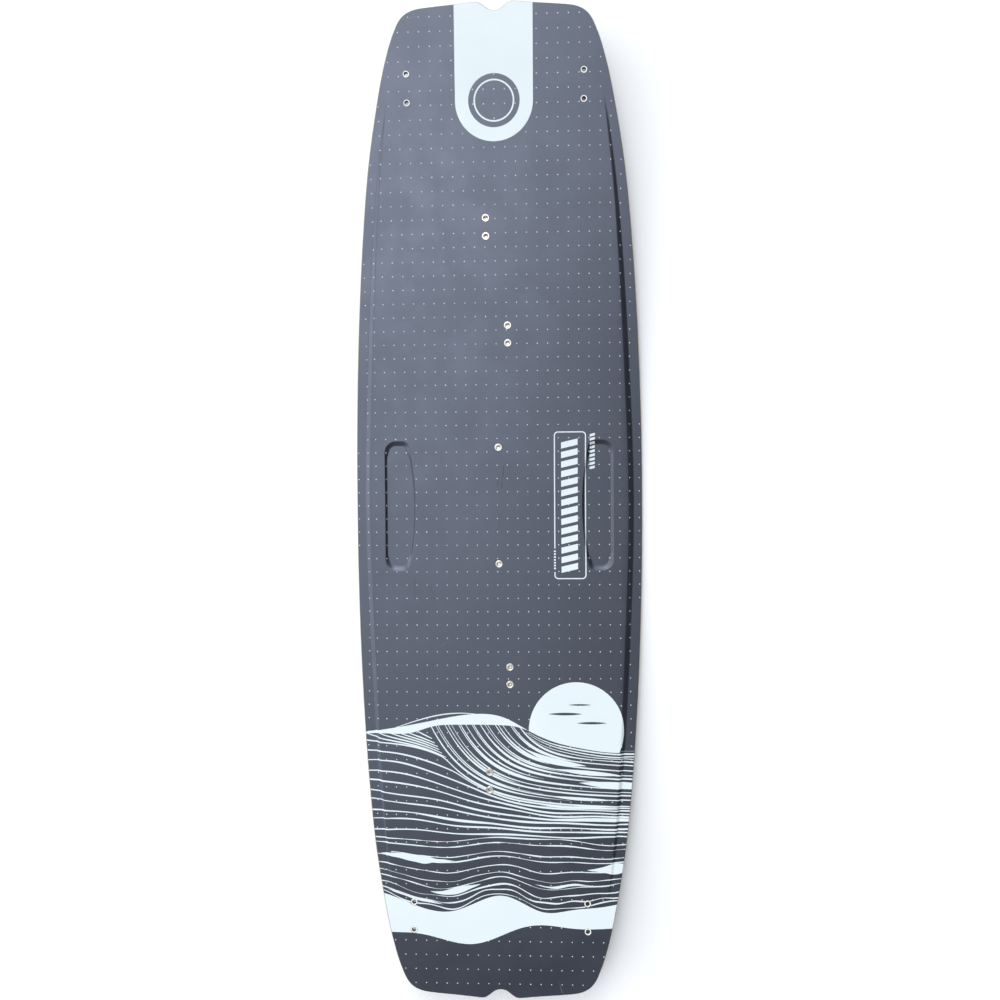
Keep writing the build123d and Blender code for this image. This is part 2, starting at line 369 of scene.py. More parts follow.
def new_object(name, verts, faces, mats, ids=None, angle=35.0, body="root"):
    mesh = bpy.data.meshes.new(name)
    mesh.from_pydata([tuple(v) for v in np.asarray(verts) * MM], [], [tuple(int(i) for i in f) for f in faces])
    for m in mats:
        mesh.materials.append(m)
    if ids is not None:
        mesh.polygons.foreach_set("material_index", np.asarray(ids, np.int32))
    mesh.polygons.foreach_set("use_smooth", np.ones(len(mesh.polygons), bool))
    mesh.validate()
    mesh.update()
    mesh.set_sharp_from_angle(angle=math.radians(angle))
    obj = bpy.data.objects.new(name, mesh)
    bpy.context.scene.collection.objects.link(obj)
    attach(obj, body)
    return obj


def slab(name, sheet, keep, top, low, round_top, round_low, mats, paint=None, side_mat=0,
         low_pitch=24.0, steps=3, low_lines=None, exact=False):
    """A closed sheet of material between two surfaces, with rounded rims."""
    v, t, mid, _ = sheet.triangles(keep)
    used = np.unique(t)
    index = np.full(len(v), -1)
    index[used] = np.arange(len(used))
    v, t = v[used], index[t]
    ids = list(paint(mid)) if paint else [0] * len(t)
    verts = [np.column_stack([v, top(v[:, 0], v[:, 1])])]
    count = len(v)
    faces = [tuple(f) for f in t]
    below = Sheet()
    ring_at = []
    for loop in border_loops(t):
        loop = np.array(loop)
        flat = v[loop]
        rings = [loop]
        shifts = [(round_top * math.sin(k * math.pi / 2 / steps),
                   "t", round_top * (1 - math.cos(k * math.pi / 2 / steps)))
                  for k in range(1, steps + 1)] if round_top else []
        shifts += [(round_top - round_low * (1 - math.cos(k * math.pi / 2 / steps)),
                    "b", round_low * (1 - math.sin(k * math.pi / 2 / steps)))
                   for k in range(0, steps + 1)] if round_low else [(round_top, "b", 0.0)]
        for out, ref, d in shifts:
            p = moved(flat, out)
            z = top(p[:, 0], p[:, 1]) - d if ref == "t" else low(p[:, 0], p[:, 1]) + d
            verts.append(np.column_stack([p, z]))
            rings.append(np.arange(count, count + len(p)))
            count += len(p)
        for a, b in zip(rings, rings[1:]):
            a2, b2 = np.roll(a, -1), np.roll(b, -1)
            faces += [tuple(q) for q in np.stack([a, b, b2, a2], 1)]
            ids += [side_mat] * len(a)
        last = verts[-1][:, :2]
        ring_at += list(rings[-1])
        below.line(last, closed=True)
    loops_xy, start = [], 0
    for a, b in below.edges:
        if b < a:
            loops_xy.append(np.array(below.pts[start : a + 1]))
            start = a + 1
    if low_lines:
        low_lines(below)
    below.fill(moved(OUTLINE, -3.0), low_pitch, min(low_pitch * 0.4, 2.6))

    def keep_low(p):
        hits = np.zeros(len(p), int)
        for poly in loops_xy:
            hits += inside_polygon(p, poly)
        return hits % 2 == 1

    lv, lt, _, orig = below.triangles(keep_low)
    place, extra = {}, []
    for i in np.unique(lt):
        source = [k for k in orig[i] if k < len(ring_at)]
        if source:
            place[int(i)] = int(ring_at[source[0]])
        else:
            place[int(i)] = count
            count += 1
            extra.append(lv[i])
    if extra:
        extra = np.array(extra)
        verts.append(np.column_stack([extra, low(extra[:, 0], extra[:, 1])]))
    faces += [(place[int(a)], place[int(c)], place[int(b)]) for a, b, c in lt]
    ids += [side_mat] * len(lt)
    obj = new_object(name, np.concatenate(verts), faces, mats, ids)
    if exact:
        shade_exactly(obj.data, v, top)
    return obj


def shade_exactly(mesh, plan, top, h=0.04):
    """Vertex normals of the upper face taken from the surface law itself."""
    x, y = plan[:, 0], plan[:, 1]
    gx = (top(x + h, y) - top(x - h, y)) / (2 * h)
    gy = (top(x, y + h) - top(x, y - h)) / (2 * h)
    up = np.column_stack([-gx, -gy, np.ones(len(x))])
    up /= np.linalg.norm(up, axis=1)[:, None]
    corner = np.empty(len(mesh.loops), np.int32)
    mesh.loops.foreach_get("vertex_index", corner)
    normals = np.empty(len(mesh.loops) * 3, np.float32)
    mesh.corner_normals.foreach_get("vector", normals)
    normals = normals.reshape(-1, 3)
    first = corner < len(plan)
    normals[first] = up[corner[first]]
    mesh.normals_split_custom_set([tuple(n) for n in normals.tolist()])


def circle(x, y, r, n=40):
    a = np.linspace(0, 2 * math.pi, n, endpoint=False)
    return np.column_stack([x + r * np.cos(a), y + r * np.sin(a)])


# ------------------------------------------------------------ material tools
class Nodes:
    def __init__(self, name):
        self.mat = bpy.data.materials.new(name)
        self.mat.use_nodes = True
        self.tree = self.mat.node_tree
        self.bsdf = self.tree.nodes["Principled BSDF"]
        self.coord = self.tree.nodes.new("ShaderNodeTexCoord").outputs["Object"]

    def link(self, a, b):
        self.tree.links.new(a, b)

    def add(self, kind, **props):
        n = self.tree.nodes.new(kind)
        for k, v in props.items():
            setattr(n, k, v)
        return n

    def scaled(self, sx, sy=None, sz=None):
        """Object coordinates in millimetres, divided by these lengths."""
        sy, sz = sy or sx, sz or sx
        n = self.add("ShaderNodeMapping")
        n.inputs["Scale"].default_value = (1000 / sx, 1000 / sy, 1000 / sz)
        self.link(self.coord, n.inputs["Vector"])
        return n.outputs["Vector"]

    def noise(self, size, detail=3.0, rough=0.5, stretch=(1, 1, 1), distort=0.0):
        n = self.add("ShaderNodeTexNoise")
        n.inputs["Scale"].default_value = 1.0
        n.inputs["Detail"].default_value = detail
        n.inputs["Roughness"].default_value = rough
        n.inputs["Distortion"].default_value = distort
        self.link(self.scaled(size * stretch[0], size * stretch[1], size * stretch[2]), n.inputs["Vector"])
        return n.outputs["Fac"]

    def ramp(self, source, lo, hi, a=0.0, b=1.0, smooth=True):
        n = self.add("ShaderNodeMapRange")
        n.interpolation_type = "SMOOTHSTEP" if smooth else "LINEAR"
        n.inputs["From Min"].default_value = lo
        n.inputs["From Max"].default_value = hi
        n.inputs["To Min"].default_value = a
        n.inputs["To Max"].default_value = b
        self.link(source, n.inputs["Value"])
        return n.outputs["Result"]

    def math(self, op, a, b=None, c=None):
        n = self.add("ShaderNodeMath", operation=op)
        for k, v in enumerate((a, b, c)):
            if v is None:
                continue
            if isinstance(v, (int, float)):
                n.inputs[k].default_value = v
            else:
                self.link(v, n.inputs[k])
        return n.outputs[0]

    def mix(self, fac, a, b):
        n = self.add("ShaderNodeMix", data_type="RGBA")
        for sock, v in ((n.inputs[0], fac), (n.inputs[6], a), (n.inputs[7], b)):
            if isinstance(v, (int, float)):
                sock.default_value = v
            elif isinstance(v, tuple):
                sock.default_value = (*v, 1.0) if len(v) == 3 else v
            else:
                self.link(v, sock)
        return n.outputs[2]

    def xyz(self):
        n = self.add("ShaderNodeSeparateXYZ")
        self.link(self.coord, n.inputs[0])
        return [self.math("MULTIPLY", o, 1000.0) for o in n.outputs]

    def dot(self, vector, by):
        n = self.add("ShaderNodeVectorMath", operation="DOT_PRODUCT")
        self.link(vector, n.inputs[0])
        n.inputs[1].default_value = by
        return n.outputs["Value"]

    def bump(self, height, strength, distance_mm):
        n = self.add("ShaderNodeBump")
        n.inputs["Strength"].default_value = strength
        n.inputs["Distance"].default_value = distance_mm * MM
        self.link(height, n.inputs["Height"])
        self.link(n.outputs[0], self.bsdf.inputs["Normal"])
        return n

    def set(self, **values):
        names = {"color": "Base Color", "rough": "Roughness", "metal": "Metallic",
                 "ior": "IOR", "coat": "Coat Weight", "coat_rough": "Coat Roughness",
                 "spec": "Specular IOR Level", "tint": "Specular Tint"}
        for k, v in values.items():
            sock = self.bsdf.inputs[names[k]]
            if isinstance(v, (int, float)):
                sock.default_value = v
            elif isinstance(v, tuple):
                sock.default_value = (*v, 1.0)
            else:
                self.link(v, sock)
        return self.mat


# first x, y, last x, y, bow, half width
SCUFFS = [(-77.8, 524.5, -66.5, 425.0, 2.0, 0.45), (-66.5, 428.0, -62.5, 214.0, -2.5, 0.40),
          (17.4, 486.0, 20.0, 440.0, 0.5, 0.40), (-57.8, 151.3, -112.7, 122.9, -1.5, 0.42),
          (-78.7, -197.9, -87.2, -206.2, 0.3, 0.40), (98.0, 585.0, 106.0, 577.0, 0.6, 0.35),
          (-129.0, 677.0, -107.0, 680.5, 0.6, 0.9), (82.0, -672.0, 88.0, -690.0, 0.8, 0.7)]
CREASES = [(9.1, 60.5, 4.9, 20.7, 0.6, 1.0), (0.8, 46.0, -0.4, 30.0, 0.2, 0.6), (3.6, -10.5, 1.2, -35.7, 0.4, 0.6),
           (-122.9, -102.5, -122.2, -140.3, 1.6, 0.6), (-102.3, -113.7, -94.0, -144.4, -1.0, 0.5),
           (5.8, -105.5, -2.8, -138.9, 0.5, 0.6)]


def marks(n, runs, sway):
    """A mask, 0 to 1, of long thin marks between pairs of points."""
    place = n.scaled(1.0)
    total = None
    for x0, y0, x1, y1, bow, half in runs:
        long = math.hypot(x1 - x0, y1 - y0)
        ux, uy = (x1 - x0) / long, (y1 - y0) / long
        cx, cy = (x0 + x1) / 2, (y0 + y1) / 2
        along = n.math("SUBTRACT", n.dot(place, (ux, uy, 0)), cx * ux + cy * uy)
        across = n.math("SUBTRACT", n.dot(place, (-uy, ux, 0)), cy * ux - cx * uy - bow)
        bent = n.math("MULTIPLY", n.math("MULTIPLY", along, along), 4 * bow / long**2)
        off = n.math("ABSOLUTE", n.math("ADD", n.math("SUBTRACT", across, bent), sway))
        line = n.ramp(off, half, half * 0.25)
        ends = n.ramp(n.math("ABSOLUTE", along), long / 2, long / 2 * 0.75)
        one = n.math("MULTIPLY", line, ends)
        total = one if total is None else n.math("MAXIMUM", total, one)
    return total


def scratches(n):
    """Faint long scratches and short scuffs, as a mask from 0 to 1."""
    sway = n.math("MULTIPLY", n.math("SUBTRACT", n.noise(40, 2), 0.5), 4.0)
    total = n.math("MULTIPLY", marks(n, SCUFFS, sway), n.ramp(n.noise(16, 3), 0.36, 0.60, 0.25, 1.0))
    fine = n.ramp(n.noise(1.0, 2, 0.6, stretch=(0.9, 34, 30), distort=0.4), 0.70, 0.76)
    across = n.ramp(n.noise(1.0, 2, 0.6, stretch=(26, 0.8, 30), distort=0.5), 0.72, 0.77)
    few = n.ramp(n.noise(95, 2), 0.52, 0.66)
    fine = n.math("MULTIPLY", n.math("MAXIMUM", fine, across), few)
    return n.math("MAXIMUM", total, n.math("MULTIPLY", fine, 0.40))


def material_dark():
    n = Nodes("printed_charcoal")
    worn = scratches(n)
    sway = n.math("MULTIPLY", n.math("SUBTRACT", n.noise(9, 2), 0.5), 2.4)
    crease = n.math("MULTIPLY", marks(n, CREASES, sway), n.ramp(n.noise(7, 2), 0.34, 0.56, 0.2, 1.0))
    cloud = n.noise(140, 3)
    grain = n.noise(0.9, 2)
    color = n.mix(n.ramp(cloud, 0.35, 0.65), (0.0135, 0.0150, 0.0210), (0.0175, 0.0190, 0.0255))
    color = n.mix(n.ramp(grain, 0.35, 0.65, 0.0, 0.2), color, (0.031, 0.033, 0.041))
    color = n.mix(n.math("MULTIPLY", worn, 0.42), color, (0.18, 0.19, 0.22))
    rough = n.math("ADD", n.ramp(n.noise(45, 4), 0.3, 0.7, 0.33, 0.39), n.math("MULTIPLY", worn, 0.12))
    rough = n.math("ADD", rough, n.math("MULTIPLY", crease, 0.18))
    x, y, _ = n.xyz()
    strip = n.ramp(n.math("ABSOLUTE", n.math("SUBTRACT", x, 8.0)), 40.0, 8.0)
    folds = n.math("MULTIPLY", n.math("MULTIPLY", n.noise(15, 2, stretch=(1, 6.5, 1)), strip), 1.0)
    height = n.math("ADD", n.math("MULTIPLY", grain, 0.3), n.math("MULTIPLY", n.noise(38, 3, stretch=(1, 2.2, 1)), 1.0))
    height = n.math("ADD", n.math("ADD", height, folds), n.math("MULTIPLY", worn, -0.6))
    height = n.math("ADD", height, n.math("MULTIPLY", crease, -1.7))
    n.bump(height, 0.35, 0.12)
    return n.set(color=color, rough=rough, ior=1.88, tint=(0.72, 0.80, 1.0))


def material_white():
    n = Nodes("printed_white")
    worn = scratches(n)
    tone = n.noise(80, 4)
    color = n.mix(n.ramp(tone, 0.3, 0.7), (0.648, 0.72, 0.74), (0.672, 0.745, 0.764))
    grime = n.ramp(n.noise(12, 5, 0.65), 0.60, 0.78)
    color = n.mix(n.math("MULTIPLY", grime, 0.12), color, (0.45, 0.47, 0.46))
    color = n.mix(n.math("MULTIPLY", worn, 0.3), color, (0.38, 0.42, 0.44))
    rough = n.ramp(n.noise(30, 4), 0.3, 0.7, 0.42, 0.52)
    n.bump(n.math("ADD", n.noise(0.9, 2), n.math("MULTIPLY", n.noise(38, 3), 2.0)), 0.2, 0.1)
    return n.set(color=color, rough=rough, ior=1.5)


def material_dot():
    n = Nodes("printed_dot")
    fade = n.ramp(n.noise(55, 4), 0.35, 0.65)
    color = n.mix(fade, (0.44, 0.47, 0.50), (0.62, 0.65, 0.68))
    return n.set(color=color, rough=n.ramp(n.noise(6, 2), 0.3, 0.7, 0.45, 0.55), ior=1.5)


def material_rail():
    n = Nodes("rail_plastic")
    tone = n.noise(70, 4, stretch=(1, 3, 1))
    color = n.mix(n.ramp(tone, 0.35, 0.65), (0.44, 0.38, 0.29), (0.55, 0.49, 0.40))
    scuff = n.ramp(n.noise(9, 5, 0.7, stretch=(1, 2.5, 0.35)), 0.55, 0.72)
    color = n.mix(n.math("MULTIPLY", scuff, 0.5), color, (0.72, 0.69, 0.62))
    dirt = n.ramp(n.noise(26, 5, 0.7), 0.58, 0.75)
    color = n.mix(n.math("MULTIPLY", dirt, 0.5), color, (0.17, 0.15, 0.12))
    rough = n.ramp(n.noise(5, 4), 0.3, 0.7, 0.48, 0.68)
    lines = n.noise(1.0, 3, 0.6, stretch=(40, 40, 0.25))
    n.bump(n.math("ADD", n.math("MULTIPLY", lines, 0.7), n.math("MULTIPLY", scuff, -0.5)), 0.35, 0.2)
    return n.set(color=color, rough=rough, ior=1.46)


def material_glass():
    n = Nodes("glass_laminate")
    x, y, _ = n.xyz()
    weave = n.math("MULTIPLY", n.math("SINE", n.math("MULTIPLY", n.math("ADD", x, y), 1.9)),
                   n.math("SINE", n.math("MULTIPLY", n.math("SUBTRACT", x, y), 1.9)))
    tone = n.ramp(weave, -0.4, 0.4)
    color = n.mix(tone, (0.13, 0.15, 0.10), (0.21, 0.23, 0.16))
    color = n.mix(n.ramp(n.noise(30, 4), 0.45, 0.7, 0.0, 0.5), color, (0.30, 0.29, 0.20))
    n.bump(weave, 0.2, 0.1)
    return n.set(color=color, rough=n.ramp(n.noise(8, 3), 0.3, 0.7, 0.22, 0.4), ior=1.55, coat=0.3, coat_rough=0.2)


def material_base():
    n = Nodes("running_base")
    x, y, _ = n.xyz()
    cloud = n.noise(160, 3)
    color = n.mix(n.ramp(cloud, 0.35, 0.65), (0.030, 0.034, 0.042), (0.042, 0.047, 0.057))
    fine = n.ramp(n.noise(1.0, 2, 0.6, stretch=(0.8, 60, 40), distort=0.3), 0.62, 0.74)
    cross = n.ramp(n.noise(1.0, 2, 0.6, stretch=(30, 1.2, 30), distort=0.8), 0.66, 0.76)
    patch = n.ramp(n.noise(120, 3), 0.42, 0.62)
    worn = n.math("MULTIPLY", n.math("MAXIMUM", fine, cross), patch)
    rim = n.ramp(n.math("ABSOLUTE", y), 560.0, 690.0)
    worn = n.math("MAXIMUM", worn, n.math("MULTIPLY", rim, n.ramp(n.noise(7, 5, 0.7, stretch=(1, 2.5, 1)), 0.56, 0.70)))
    color = n.mix(n.math("MULTIPLY", worn, 0.42), color, (0.17, 0.18, 0.20))
    rough = n.math("ADD", n.ramp(n.noise(40, 4), 0.3, 0.7, 0.24, 0.34), n.math("MULTIPLY", worn, 0.25))
    n.bump(n.math("ADD", n.math("MULTIPLY", n.noise(50, 3, stretch=(1, 3, 1)), 1.5), n.math("MULTIPLY", worn, -0.5)), 0.3, 0.15)
    return n.set(color=color, rough=rough, ior=1.5, coat=0.15, coat_rough=0.15)


def material_wood():
    n = Nodes("paulownia")
    rings = n.noise(7, 4, 0.6, stretch=(1, 26, 3), distort=0.6)
    pores = n.ramp(n.noise(1.0, 3, 0.7, stretch=(0.5, 14, 0.5)), 0.6, 0.75)
    color = n.mix(n.ramp(rings, 0.3, 0.7), (0.60, 0.44, 0.26), (0.76, 0.61, 0.41))
    color = n.mix(n.math("MULTIPLY", pores, 0.4), color, (0.34, 0.22, 0.12))
    n.bump(n.math("SUBTRACT", rings, n.math("MULTIPLY", pores, 0.6)), 0.3, 0.3)
    return n.set(color=color, rough=n.ramp(rings, 0.3, 0.7, 0.55, 0.7))


def material_block():
    n = Nodes("dense_block")
    speck = n.ramp(n.noise(1.6, 4, 0.7), 0.45, 0.6)
    color = n.mix(speck, (0.62, 0.53, 0.33), (0.72, 0.64, 0.44))
    n.bump(n.noise(1.2, 3), 0.3, 0.2)
    return n.set(color=color, rough=n.ramp(n.noise(6, 3), 0.3, 0.7, 0.6, 0.75))


def material_steel():
    n = Nodes("turned_steel")
    tone = n.noise(2.6, 4)
    color = n.mix(n.ramp(tone, 0.35, 0.65), (0.60, 0.58, 0.52), (0.74, 0.72, 0.67))
    stain = n.ramp(n.noise(1.3, 5, 0.7), 0.60, 0.74)
    color = n.mix(n.math("MULTIPLY", stain, 0.5), color, (0.22, 0.17, 0.12))
    rough = n.math("ADD", n.ramp(n.noise(0.7, 3), 0.3, 0.7, 0.24, 0.38), n.math("MULTIPLY", stain, 0.25))
    n.bump(n.noise(0.5, 3, stretch=(1, 1, 0.3)), 0.25, 0.05)
    return n.set(color=color, rough=rough, metal=n.math("SUBTRACT", 1.0, n.math("MULTIPLY", stain, 0.6)))


def material_bush():
    n = Nodes("white_bush")
    tone = n.noise(3, 4)
    color = n.mix(n.ramp(tone, 0.35, 0.65), (0.76, 0.76, 0.73), (0.86, 0.86, 0.84))
    grime = n.ramp(n.noise(2.2, 5, 0.7), 0.55, 0.72)
    color = n.mix(n.math("MULTIPLY", grime, 0.35), color, (0.42, 0.38, 0.31))
    n.bump(n.noise(0.8, 3), 0.25, 0.08)
    return n.set(color=color, rough=n.ramp(tone, 0.3, 0.7, 0.42, 0.58))


# The bore of the white bush is coloured near-black with a few lighter flecks: painted shade standing in for the shadow
# down the hole.
def material_bore_painted_shade():
    n = Nodes("bush_bore_painted_shade")
    _, _, z = n.xyz()
    tone = n.noise(2.5, 4)
    color = n.mix(n.ramp(tone, 0.35, 0.65), (0.060, 0.058, 0.050), (0.11, 0.108, 0.095))
    color = n.mix(n.ramp(n.noise(1.1, 3), 0.62, 0.72, 0.0, 0.5), color, (0.30, 0.29, 0.25))
    n.bump(n.noise(0.7, 3), 0.3, 0.1)
    return n.set(color=color, rough=n.ramp(tone, 0.3, 0.7, 0.55, 0.75))


DARK, WHITE, DOT = material_dark(), material_white(), material_dot()
RAIL, GLASS, BASE = material_rail(), material_glass(), material_base()
WOOD, BLOCK, STEEL, BUSH, BORE_PAINTED_SHADE = material_wood(), material_block(), material_steel(), material_bush(), material_bore_painted_shade()

# ------------------------------------------------------------ fittings' places
FIN_SPOTS, INSERT_SPOTS = {}, {}
for end, s in (("front", 1), ("rear", -1)):
    for side, t in (("right", 1), ("left", -1)):
        FIN_SPOTS[f"fin_bush_{end}_{side}"] = [(t * FIN_X, s * FIN_Y + d) for d in (-19.0, 19.0)]
    for which, x, y in (("inner", FOOT_X, FOOT_INNER_Y), ("outer", -FOOT_X, FOOT_OUTER_Y)):
        INSERT_SPOTS[f"foot_insert_{end}_{which}"] = [(x, s * y + d) for d in (-12.5, 12.5)]
INSERT_SPOTS["handle_insert"] = [(0.0, -HANDLE_Y), (0.0, HANDLE_Y)]
HOLES = [(x, y, FIN_BUSH_R) for spots in FIN_SPOTS.values() for x, y in spots]
HOLES += [(x, y, INSERT_R) for spots in INSERT_SPOTS.values() for x, y in spots]
GAP = 0.06


# ------------------------------------------------------------ printed pattern
def curve(points):
    """A smooth function through (x, value) points."""
    p = np.array(points, float)
    x, v = p[:, 0], p[:, 1]
    n, h = len(x), np.diff(x)
    A, B = np.zeros((n, n)), np.zeros(n)
    A[0, :2], A[-1, -2:] = (2, 1), (1, 2)
    B[0], B[-1] = 3 * (v[1] - v[0]) / h[0], 3 * (v[-1] - v[-2]) / h[-1]
    for i in range(1, n - 1):
        A[i, i - 1], A[i, i], A[i, i + 1] = 1 / h[i - 1], 2 / h[i - 1] + 2 / h[i], 1 / h[i]
        B[i] = 3 * ((v[i] - v[i - 1]) / h[i - 1] ** 2 + (v[i + 1] - v[i]) / h[i] ** 2)
    m = np.linalg.solve(A, B)

    def law(q):
        q = np.clip(np.asarray(q, float), x[0], x[-1])
        i = np.clip(np.searchsorted(x, q, "right") - 1, 0, n - 2)
        t = (q - x[i]) / h[i]
        return ((2 * t**3 - 3 * t**2 + 1) * v[i] + (t**3 - 2 * t**2 + t) * h[i] * m[i]
                + (3 * t**2 - 2 * t**3) * v[i + 1] + (t**3 - t**2) * h[i] * m[i + 1])

    return law


def ripple(x, s, size, seed):
    """A plain sum of waves, about -1 to 1, that varies over this many millimetres."""
    rng = np.random.RandomState(seed)
    out = np.zeros(np.broadcast(x, s).shape)
    for _ in range(7):
        a, f, ph = rng.uniform(0, 2 * math.pi), rng.uniform(0.7, 1.6) / size, rng.uniform(0, 6.28)
        out = out + np.sin(2 * math.pi * f * (x * math.cos(a) + s * math.sin(a) * 1.6) + ph)
    return out / 4.2


SWELL_TOP = curve([(-215, 333), (-165, 326), (-115, 317), (-65, 307), (-25, 303), (10, 309),
                   (42, 326), (78, 342), (120, 352), (165, 358), (215, 356)])
CREST = curve([(-215, 3.0), (-165, 6.0), (-128, 11.5), (-98, 8.5), (-60, 12.5), (-22, 15.5),
               (8, 11.0), (26, 4.5), (40, 0.7), (215, 0.7)])
BAND_TOP = curve([(-215, 552), (-168, 557), (-122, 573), (-66, 581), (-28, 567), (4, 559), (32, 568),
                  (62, 581), (104, 578), (150, 573), (215, 555)])
BAND_LOW = curve([(-215, 606), (-160, 611), (-112, 613), (-72, 622), (-38, 626), (-4, 617), (32, 603),
                  (66, 599), (104, 603), (150, 603), (215, 597)])
STROKES = []


def stroke(xs, centre, half):
    """A white band along x: its middle line and its half thickness, both over xs."""
    half = np.maximum(np.asarray(half, float) + 0 * xs, 0.12)
    STROKES.append((xs, centre - half, centre + half))


def run(x0, x1, step=2.5):
    return np.linspace(x0, x1, max(4, int((x1 - x0) / step) + 1))


def sweep(u, x):
    """Line number u of the swell, 0 the highest, as a height over x, and where it starts."""
    end = 368 + 110 * u**1.04
    if u < 0.56:
        x0 = 31 - 136 * (u / 0.56) ** 0.92
        s0 = float(SWELL_TOP(x0) + CREST(x0)) - 0.8
        s = end - (end - s0) * np.exp(-(x - x0) / (33 + 42 * u))
        return s + 0.035 * (x - x0) * np.clip((x - x0) / 200, 0, 1) * (1 - u), x0
    v = (u - 0.56) / 0.44
    first = 341 + 128 * v
    w = 1 / (1 + np.exp(-(x + 44 + 26 * v) / (38 + 22 * v)))
    return first + (end - first) * w + 1.5 * ripple(x, 0 * x + first, 130, 17), -216.0


def shelf(q, x, seed):
    """Line q between the swell's foot and the foam, 0 the swell's foot."""
    flat = 478 + 5.0 * ripple(x, 0 * x, 170, 23) * (1 - q) + 0.012 * x
    shape = BAND_TOP(x) + 3.2 * q * ripple(x, 0 * x, 62, seed)
    return (1 - q) * flat + q * shape


# the crest, the line it runs out into, and the band of foam
xs = run(-216, 216)
stroke(xs, SWELL_TOP(xs) + CREST(xs) / 2, CREST(xs) / 2)
stroke(xs, (BAND_TOP(xs) + BAND_LOW(xs)) / 2, (BAND_LOW(xs) - BAND_TOP(xs)) / 2)
xs = run(-150, -34)
stroke(xs, SWELL_TOP(xs) - 6.0 * np.sin(math.pi * (xs + 150) / 116) ** 1.0, 0.35 + 0.5 * np.sin(math.pi * (xs + 150) / 116))
# the swell's lines
for k in range(20):
    u = 0.56 * (k + 0.35 * math.sin(2.3 * k)) / 20 if k else 0.0
    x0 = sweep(u, np.zeros(1))[1]
    t_end = 1.0 if k % 2 == 0 else 0.36 + 0.07 * (k % 5)
    xs = run(x0, x0 + (216 - x0) * t_end, 2.0)
    t = (xs - x0) / (216 - x0)
    half = 0.42 + 0.85 * np.exp(-(((t - 0.22) / 0.2) ** 2)) + 0.32 * (1 + ripple(xs, 0 * xs, 90, 40 + k))
    half = half * (1 - (t / t_end) ** 3) if k % 2 else half + 0.28 * t
    stroke(xs, sweep(u, xs)[0], half * (0.85 + 0.25 * math.sin(1.7 * k)))
for k, (f, x0) in enumerate(((0.22, 46), (0.48, 40), (0.74, 36))):
    xs = run(x0, 216, 2.0)
    rise = np.clip((xs - x0) / 50, 0, 1)
    share = f + 0.07 * ripple(xs, 0 * xs, 110, 30 + k)
    stroke(xs, SWELL_TOP(xs) + share * (sweep(0.0, xs)[0] - SWELL_TOP(xs)), (0.30 + 0.75 * rise) * (1 - 0.25 * k))
for k in range(10):
    u = 0.56 + 0.44 * (k + 0.25 * math.sin(3.1 * k)) / 9.3
    xs = run(-216, 216, 3.0)
    half = 0.90 + 0.36 * ripple(xs, 0 * xs, 120, 70 + k) + 0.35 * np.exp(-(((xs - 20) / 80) ** 2))
    edge = np.where(xs > -105, sweep(0.559, xs)[0], 0.0) + 2.6 + 2.3 * k
    stroke(xs, soft_max(sweep(u, xs)[0], edge, 6.0), half)
for k, x0 in enumerate((-196, -176, -158, -143, -131, -119)):
    xs = run(x0, -58 + 2 * k, 2.0)
    off = 1.6 + 3.1 * k
    low = 341 + (368 + 110 * 0.56**1.04 - 341) / (1 + np.exp(-(xs + 44) / 38)) - off
    drop = low[0] - float(SWELL_TOP(x0) + CREST(x0)) + 0.6
    fan = low - drop * np.exp(-(xs - x0) / 24)
    ok = (xs < -105) | (fan > sweep(0.559, xs)[0] + 0.4)
    xs, fan = xs[ok], fan[ok]
    stroke(xs, fan, 0.55 + 0.5 * np.sin(math.pi * (xs - x0) / (xs[-1] - x0)))
# lenses of foam lying along the lines
for u, cx, w, h in ((0.085, 82, 44, 4.0), (0.17, 130, 46, 3.2), (0.30, 168, 52, 4.6), (0.50, 118, 46, 2.2),
                    (0.64, 120, 60, 1.9), (0.78, 150, 70, 1.8), (0.90, -60, 60, 1.4)):
    xs = run(max(cx - w, -216), min(cx + w, 216), 2.5)
    mid, start = sweep(u, xs)
    ok = xs > start
    stroke(xs[ok], mid[ok], (h * (1 - ((xs - cx) / w) ** 2))[ok])
# calmer water down to the foam
for k, q in enumerate((0.05, 0.13, 0.27, 0.34, 0.48, 0.60, 0.69, 0.80, 0.88, 0.95)):
    left = -216 if k % 4 != 2 else -216 + 30 * (k % 3)
    xs = run(left, 216, 3.0)
    half = 0.62 + 0.5 * ripple(xs, 0 * xs, 140, 90 + k) + 0.25 * ripple(xs, 0 * xs, 40, 120 + k)
    stroke(xs, shelf(q, xs, 50 + k), np.clip(half, 0.22, 1.5))
for q, seed, cx, w, h in ((0.32, 52, -118, 54, 4.6), (0.44, 53, 186, 60, 6.4), (0.74, 56, -62, 36, 4.2),
                          (0.90, 58, -120, 40, 1.8), (0.66, 55, 92, 40, 1.6)):
    xs = run(max(cx - w, -216), min(cx + w, 216), 2.5)
    lop = 1 + 0.35 * ripple(xs, 0 * xs, 40, seed)
    stroke(xs, shelf(q, xs, seed), h * (1 - ((xs - cx) / w) ** 2) * lop)


SEA_X = run(40, 186, 2.0)
SEA_S = SWELL_TOP(SEA_X)


def in_strokes(x, s):
    white = np.zeros(len(x), bool)
    for xs, up, down in STROKES:
        k = np.nonzero((x > xs[0]) & (x < xs[-1]) & (s > up.min()) & (s < down.max()))[0]
        if len(k):
            white[k] |= (s[k] > np.interp(x[k], xs, up)) & (s[k] < np.interp(x[k], xs, down))
    return white


def rounded_box(x0, x1, s0, s1, r, n=6):
    pts = []
    for cx, cs, a0 in ((x1 - r, s1 - r, 0), (x0 + r, s1 - r, 90), (x0 + r, s0 + r, 180), (x1 - r, s0 + r, 270)):
        for k in range(n + 1):
            a = math.radians(a0 + 90 * k / n)
            pts.append((cx + r * math.cos(a), cs + r * math.sin(a)))
    return np.array(pts)


